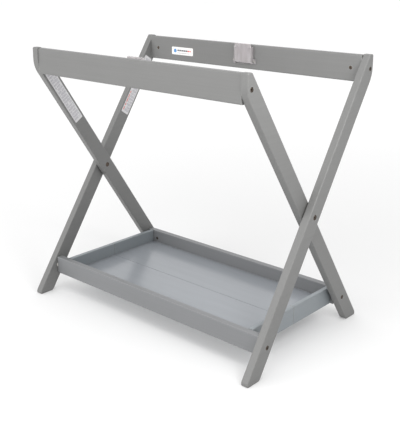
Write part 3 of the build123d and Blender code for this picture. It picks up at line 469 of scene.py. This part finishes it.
def baked(tree, name, values, points=((0, 0, 0),), place=None):
    """Run a geometry tree on some points and keep the result as a plain mesh piece."""
    mesh = bpy.data.meshes.new(name)
    mesh.from_pydata(points, [], [])
    holder = bpy.data.objects.new(name + "_points", mesh)
    bpy.context.scene.collection.objects.link(holder)
    modifier = holder.modifiers.new(name, "NODES")
    modifier.node_group = tree
    for item in tree.interface.items_tree:
        if item.in_out == "INPUT" and item.name in values:
            modifier[item.identifier] = values[item.name]
    seen = holder.evaluated_get(bpy.context.evaluated_depsgraph_get())
    result = bpy.data.meshes.new_from_object(seen)
    holder.modifiers.remove(modifier)
    bpy.data.objects.remove(holder)
    result.name = name
    if place is not None:
        result.transform(place)
    piece = bpy.data.objects.new(name, result)
    bpy.context.scene.collection.objects.link(piece)
    return piece


# ---- screws --------------------------------------------------------------------------
SCREW_SHANK_RADIUS = 1.45 * MM


def screws_for(node, body, outwards, seed, head_radius, neck_radius, head_height, stands, length, recess):
    """Cross-headed screws in place of a node's plain ones. Sizes are in millimetres."""
    direction = Vector(outwards)
    axis = next(i for i in range(3) if direction[i])
    points = []
    for low, high in solids(node):
        place = (low + high) / 2
        place[axis] = (high if direction[axis] > 0 else low)[axis] - direction[axis] * stands * MM
        points.append(tuple(place))
    piece = baked(screw_tree, node + "_cross_headed", {
        "Outwards": direction, "Head Radius": head_radius * MM, "Neck Radius": neck_radius * MM,
        "Head Height": head_height * MM, "Head Stands": stands * MM, "Shank Radius": SCREW_SHANK_RADIUS,
        "Length": length * MM, "Recess Width": recess * MM, "Seed": seed, "Steel": zinc}, points)
    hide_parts(node)
    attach(piece, body)


screw_tree = cross_head_screws()
for number, half in enumerate(("front", "rear")):
    countersunk = dict(head_radius=2.95, neck_radius=1.45, head_height=1.4, stands=0.0, recess=3.2)
    screws_for(half + "_hinge_screws", half + "_tray", (0, 0, -1), 10 + number, length=9.0, **countersunk)
    screws_for(half + "_floor_screws", half + "_tray", (0, 0, -1), 20 + number, length=28.0, **countersunk)
for rail_name, body_name, way in (("front", "inner_frame", 1.0), ("rear", "outer_frame", -1.0)):
    screws_for(rail_name + "_catch_screws", body_name, (0, way, 0), 30, head_radius=2.3, neck_radius=2.95,
               head_height=1.4, stands=1.4, length=15.4, recess=3.0)


# ---- label print ---------------------------------------------------------------------
INK_THICKNESS = 0.06 * MM
INK_LIFT = 0.02 * MM      # middle of the ink above the label's face
END_MARGIN = 6 * MM       # leg label's end to its print
SIDE_MARGIN = 3 * MM      # leg label's side to its rows
TITLE_MARGIN = 2 * MM     # outer leg label's side to its red title
TITLE_HEIGHT = 6 * MM
TITLE_TO_ROWS = 1 * MM
TITLE_END = -0.12         # the title's end from the label's middle, in label lengths


def label_place(node, along, outwards):
    """A matrix from a label's own axes (X along the print, Y up it, Z out of it), and its size."""
    up = outwards.cross(along)
    spans = [reach(node, direction) for direction in (along, up, outwards)]
    centre = along * sum(spans[0]) / 2 + up * sum(spans[1]) / 2 + outwards * spans[2][1]
    place = Matrix.Identity(4)
    for column, vector in enumerate((along, up, outwards)):
        for row in range(3):
            place[row][column] = vector[row]
    place.translation = centre
    return place, spans[0][1] - spans[0][0], spans[1][1] - spans[1][0]


def print_block(name, node, place, left, right, low, high, words, rows, share, seed, ink):
    """One block of print on a label, between given places in its own axes, in metres."""
    middle = Matrix.Translation(((left + right) / 2, (low + high) / 2, INK_LIFT))
    piece = baked(print_tree, name, {
        "Length": right - left, "Height": high - low, "Words": words, "Rows": rows,
        "Ink Thickness": INK_THICKNESS, "Filled Share": share, "Seed": seed, "Ink": ink},
        place=place @ middle)
    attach(piece, LABEL_BODIES[node])


def round_mark(name, node, place, across, x, ink):
    """A plain disc printed at the start of a label."""
    shape = bmesh.new()
    bmesh.ops.create_cone(shape, cap_ends=True, segments=40, radius1=across / 2, radius2=across / 2,
                          depth=INK_THICKNESS)
    bmesh.ops.translate(shape, verts=shape.verts, vec=(x, 0, INK_LIFT))
    mesh = bpy.data.meshes.new(name)
    shape.to_mesh(mesh)
    shape.free()
    mesh.transform(place)
    mesh.materials.append(ink)
    piece = bpy.data.objects.new(name, mesh)
    bpy.context.scene.collection.objects.link(piece)
    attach(piece, LABEL_BODIES[node])


print_tree = printed_lines()

# The rail label: a disc, a line that ends in red, and a small grey line under it.
place, length, width = label_place("rail_label", Vector((1, 0, 0)), Vector((0, -1, 0)))
start, end = -length / 2, length / 2
text_start = start + 23 * MM
red_start = end - 22 * MM
title_low, title_high = -3.5 * MM, 6.5 * MM
round_mark("rail_label_mark", "rail_label", place, 12 * MM, start + 14 * MM, blue_ink)
print_block("rail_label_title", "rail_label", place, text_start, red_start, title_low, title_high,
            words=5, rows=1, share=1.0, seed=3, ink=dark_ink)
print_block("rail_label_end", "rail_label", place, red_start, end - 8 * MM, title_low, title_high,
            words=2, rows=1, share=1.0, seed=4, ink=red_ink)
print_block("rail_label_line", "rail_label", place, text_start, end - 16 * MM, -8 * MM, -4.5 * MM,
            words=8, rows=1, share=1.0, seed=5, ink=grey_ink)

# The leg labels: close rows of small print, and a red title on the outer leg's.
up_inner_leg = Vector((0, -math.sin(LEG_LEAN), math.cos(LEG_LEAN)))
place, length, width = label_place("inner_leg_label", up_inner_leg, Vector((1, 0, 0)))
print_block("inner_leg_label_lines", "inner_leg_label", place,
            -length / 2 + END_MARGIN, length / 2 - END_MARGIN,
            -width / 2 + SIDE_MARGIN, width / 2 - SIDE_MARGIN,
            words=19, rows=10, share=0.9, seed=7, ink=grey_ink)

up_outer_leg = Vector((0, math.sin(LEG_LEAN), math.cos(LEG_LEAN)))
place, length, width = label_place("outer_leg_label", up_outer_leg, Vector((1, 0, 0)))
title_high = width / 2 - TITLE_MARGIN
title_low = title_high - TITLE_HEIGHT
print_block("outer_leg_label_title", "outer_leg_label", place,
            -length / 2 + END_MARGIN, TITLE_END * length, title_low, title_high,
            words=5, rows=1, share=1.0, seed=9, ink=red_ink)
print_block("outer_leg_label_lines", "outer_leg_label", place,
            -length / 2 + END_MARGIN, length / 2 - END_MARGIN,
            -width / 2 + SIDE_MARGIN, title_low - TITLE_TO_ROWS,
            words=20, rows=7, share=0.9, seed=11, ink=grey_ink)


# ---- studio --------------------------------------------------------------------------
FLOOR_SPAN = 28.0
SHADE_CENTRE = (0.15, 0.25, 0)   # the floor's darkest place, under the stand
SHADE_REACH = (0.3, 2.6)         # where its shade starts to fade, and where it ends


def seamless_floor():
    """A wide pale floor, with painted shade that makes it a little darker around the stand."""
    mesh = bpy.data.meshes.new("studio_floor")
    half = FLOOR_SPAN / 2
    corners = [(-half, -half, 0), (half, -half, 0), (half, half, 0), (-half, half, 0)]
    mesh.from_pydata(corners, [], [(0, 1, 2, 3)])
    material, tree, output = new_material("matt_white_paper")
    where = add(tree, "ShaderNodeTexCoord").outputs["Object"]
    out = add(tree, "ShaderNodeVectorMath", {0: where, 1: SHADE_CENTRE},
              operation="DISTANCE").outputs["Value"]
    share = add(tree, "ShaderNodeMapRange",
                {"Value": out, "From Min": SHADE_REACH[0], "From Max": SHADE_REACH[1]}).outputs["Result"]
    # Painted shade: the floor's colour darkens towards the stand and pales outwards.
    paper_and_painted_shade = add(tree, "ShaderNodeValToRGB", {"Fac": share},
                [(0.0, "#CCCCCC"), (1.0, "#EAEAEA")]).outputs["Color"]
    shader = add(tree, "ShaderNodeBsdfPrincipled", {
        "Base Color": paper_and_painted_shade, "Roughness": 0.9, "Specular IOR Level": 0.1,
        "Emission Color": linear("#FFFFFF"), "Emission Strength": 0.21})
    tree.links.new(shader.outputs["BSDF"], output.inputs["Surface"])
    mesh.materials.append(material)
    floor = bpy.data.objects.new("studio_floor", mesh)
    bpy.context.scene.collection.objects.link(floor)


def softbox(name, place, aim, width, height, watts):
    """A rectangular area light that faces a point."""
    light = bpy.data.lights.new(name, "AREA")
    light.shape = "RECTANGLE"
    light.size, light.size_y = width, height
    light.energy = watts
    lamp = bpy.data.objects.new(name, light)
    lamp.location = place
    lamp.visible_camera = False
    lamp.rotation_euler = (Vector(aim) - Vector(place)).to_track_quat("-Z", "Y").to_euler()
    bpy.context.scene.collection.objects.link(lamp)


def studio_world(strength, right_share):
    """White surroundings, dimmer on the right (+X)."""
    world = bpy.data.worlds.new("studio")
    world.use_nodes = True
    tree = world.node_tree
    tree.nodes.clear()
    direction = add(tree, "ShaderNodeTexCoord").outputs["Generated"]
    across = add(tree, "ShaderNodeSeparateXYZ", {"Vector": direction}).outputs["X"]
    level = add(tree, "ShaderNodeMapRange", {
        "Value": across, "From Min": -0.2, "From Max": 0.8, "To Min": strength,
        "To Max": strength * right_share}, interpolation_type="SMOOTHSTEP")
    sky = add(tree, "ShaderNodeBackground",
              {"Color": linear("#FFFFFF"), "Strength": level.outputs["Result"]})
    output = add(tree, "ShaderNodeOutputWorld")
    tree.links.new(sky.outputs["Background"], output.inputs["Surface"])
    bpy.context.scene.world = world


def main_camera():
    """Seen from the front right, a little above, over a long lens."""
    azimuth, elevation, distance = math.radians(42.01), math.radians(14.36), 2.1216
    target = Vector((0.0242, 0, 0.4396))
    back = Vector((math.sin(azimuth) * math.cos(elevation), -math.cos(azimuth) * math.cos(elevation),
                   math.sin(elevation)))
    data = bpy.data.cameras.new("camera")
    data.lens = 66.0
    data.shift_y = -0.129
    camera = bpy.data.objects.new("camera", data)
    camera.location = target + back * distance
    camera.rotation_euler = (-back).to_track_quat("-Z", "Y").to_euler()
    bpy.context.scene.collection.objects.link(camera)
    bpy.context.scene.camera = camera


seamless_floor()
studio_world(1.12, 0.55)
softbox("front", (-0.8, -3.1, 1.2), (0, 0, 0.4), 2.5, 2.0, 37)
softbox("high_front", (0.8, -1.1, 2.4), (0, 0.2, 0.4), 1.0, 1.0, 11)
softbox("near_right", (1.0, -0.28, 0.95), (0.35, -0.1, 0.6), 0.4, 0.4, 5.0)
main_camera()
bpy.context.scene.view_settings.view_transform = "Standard"
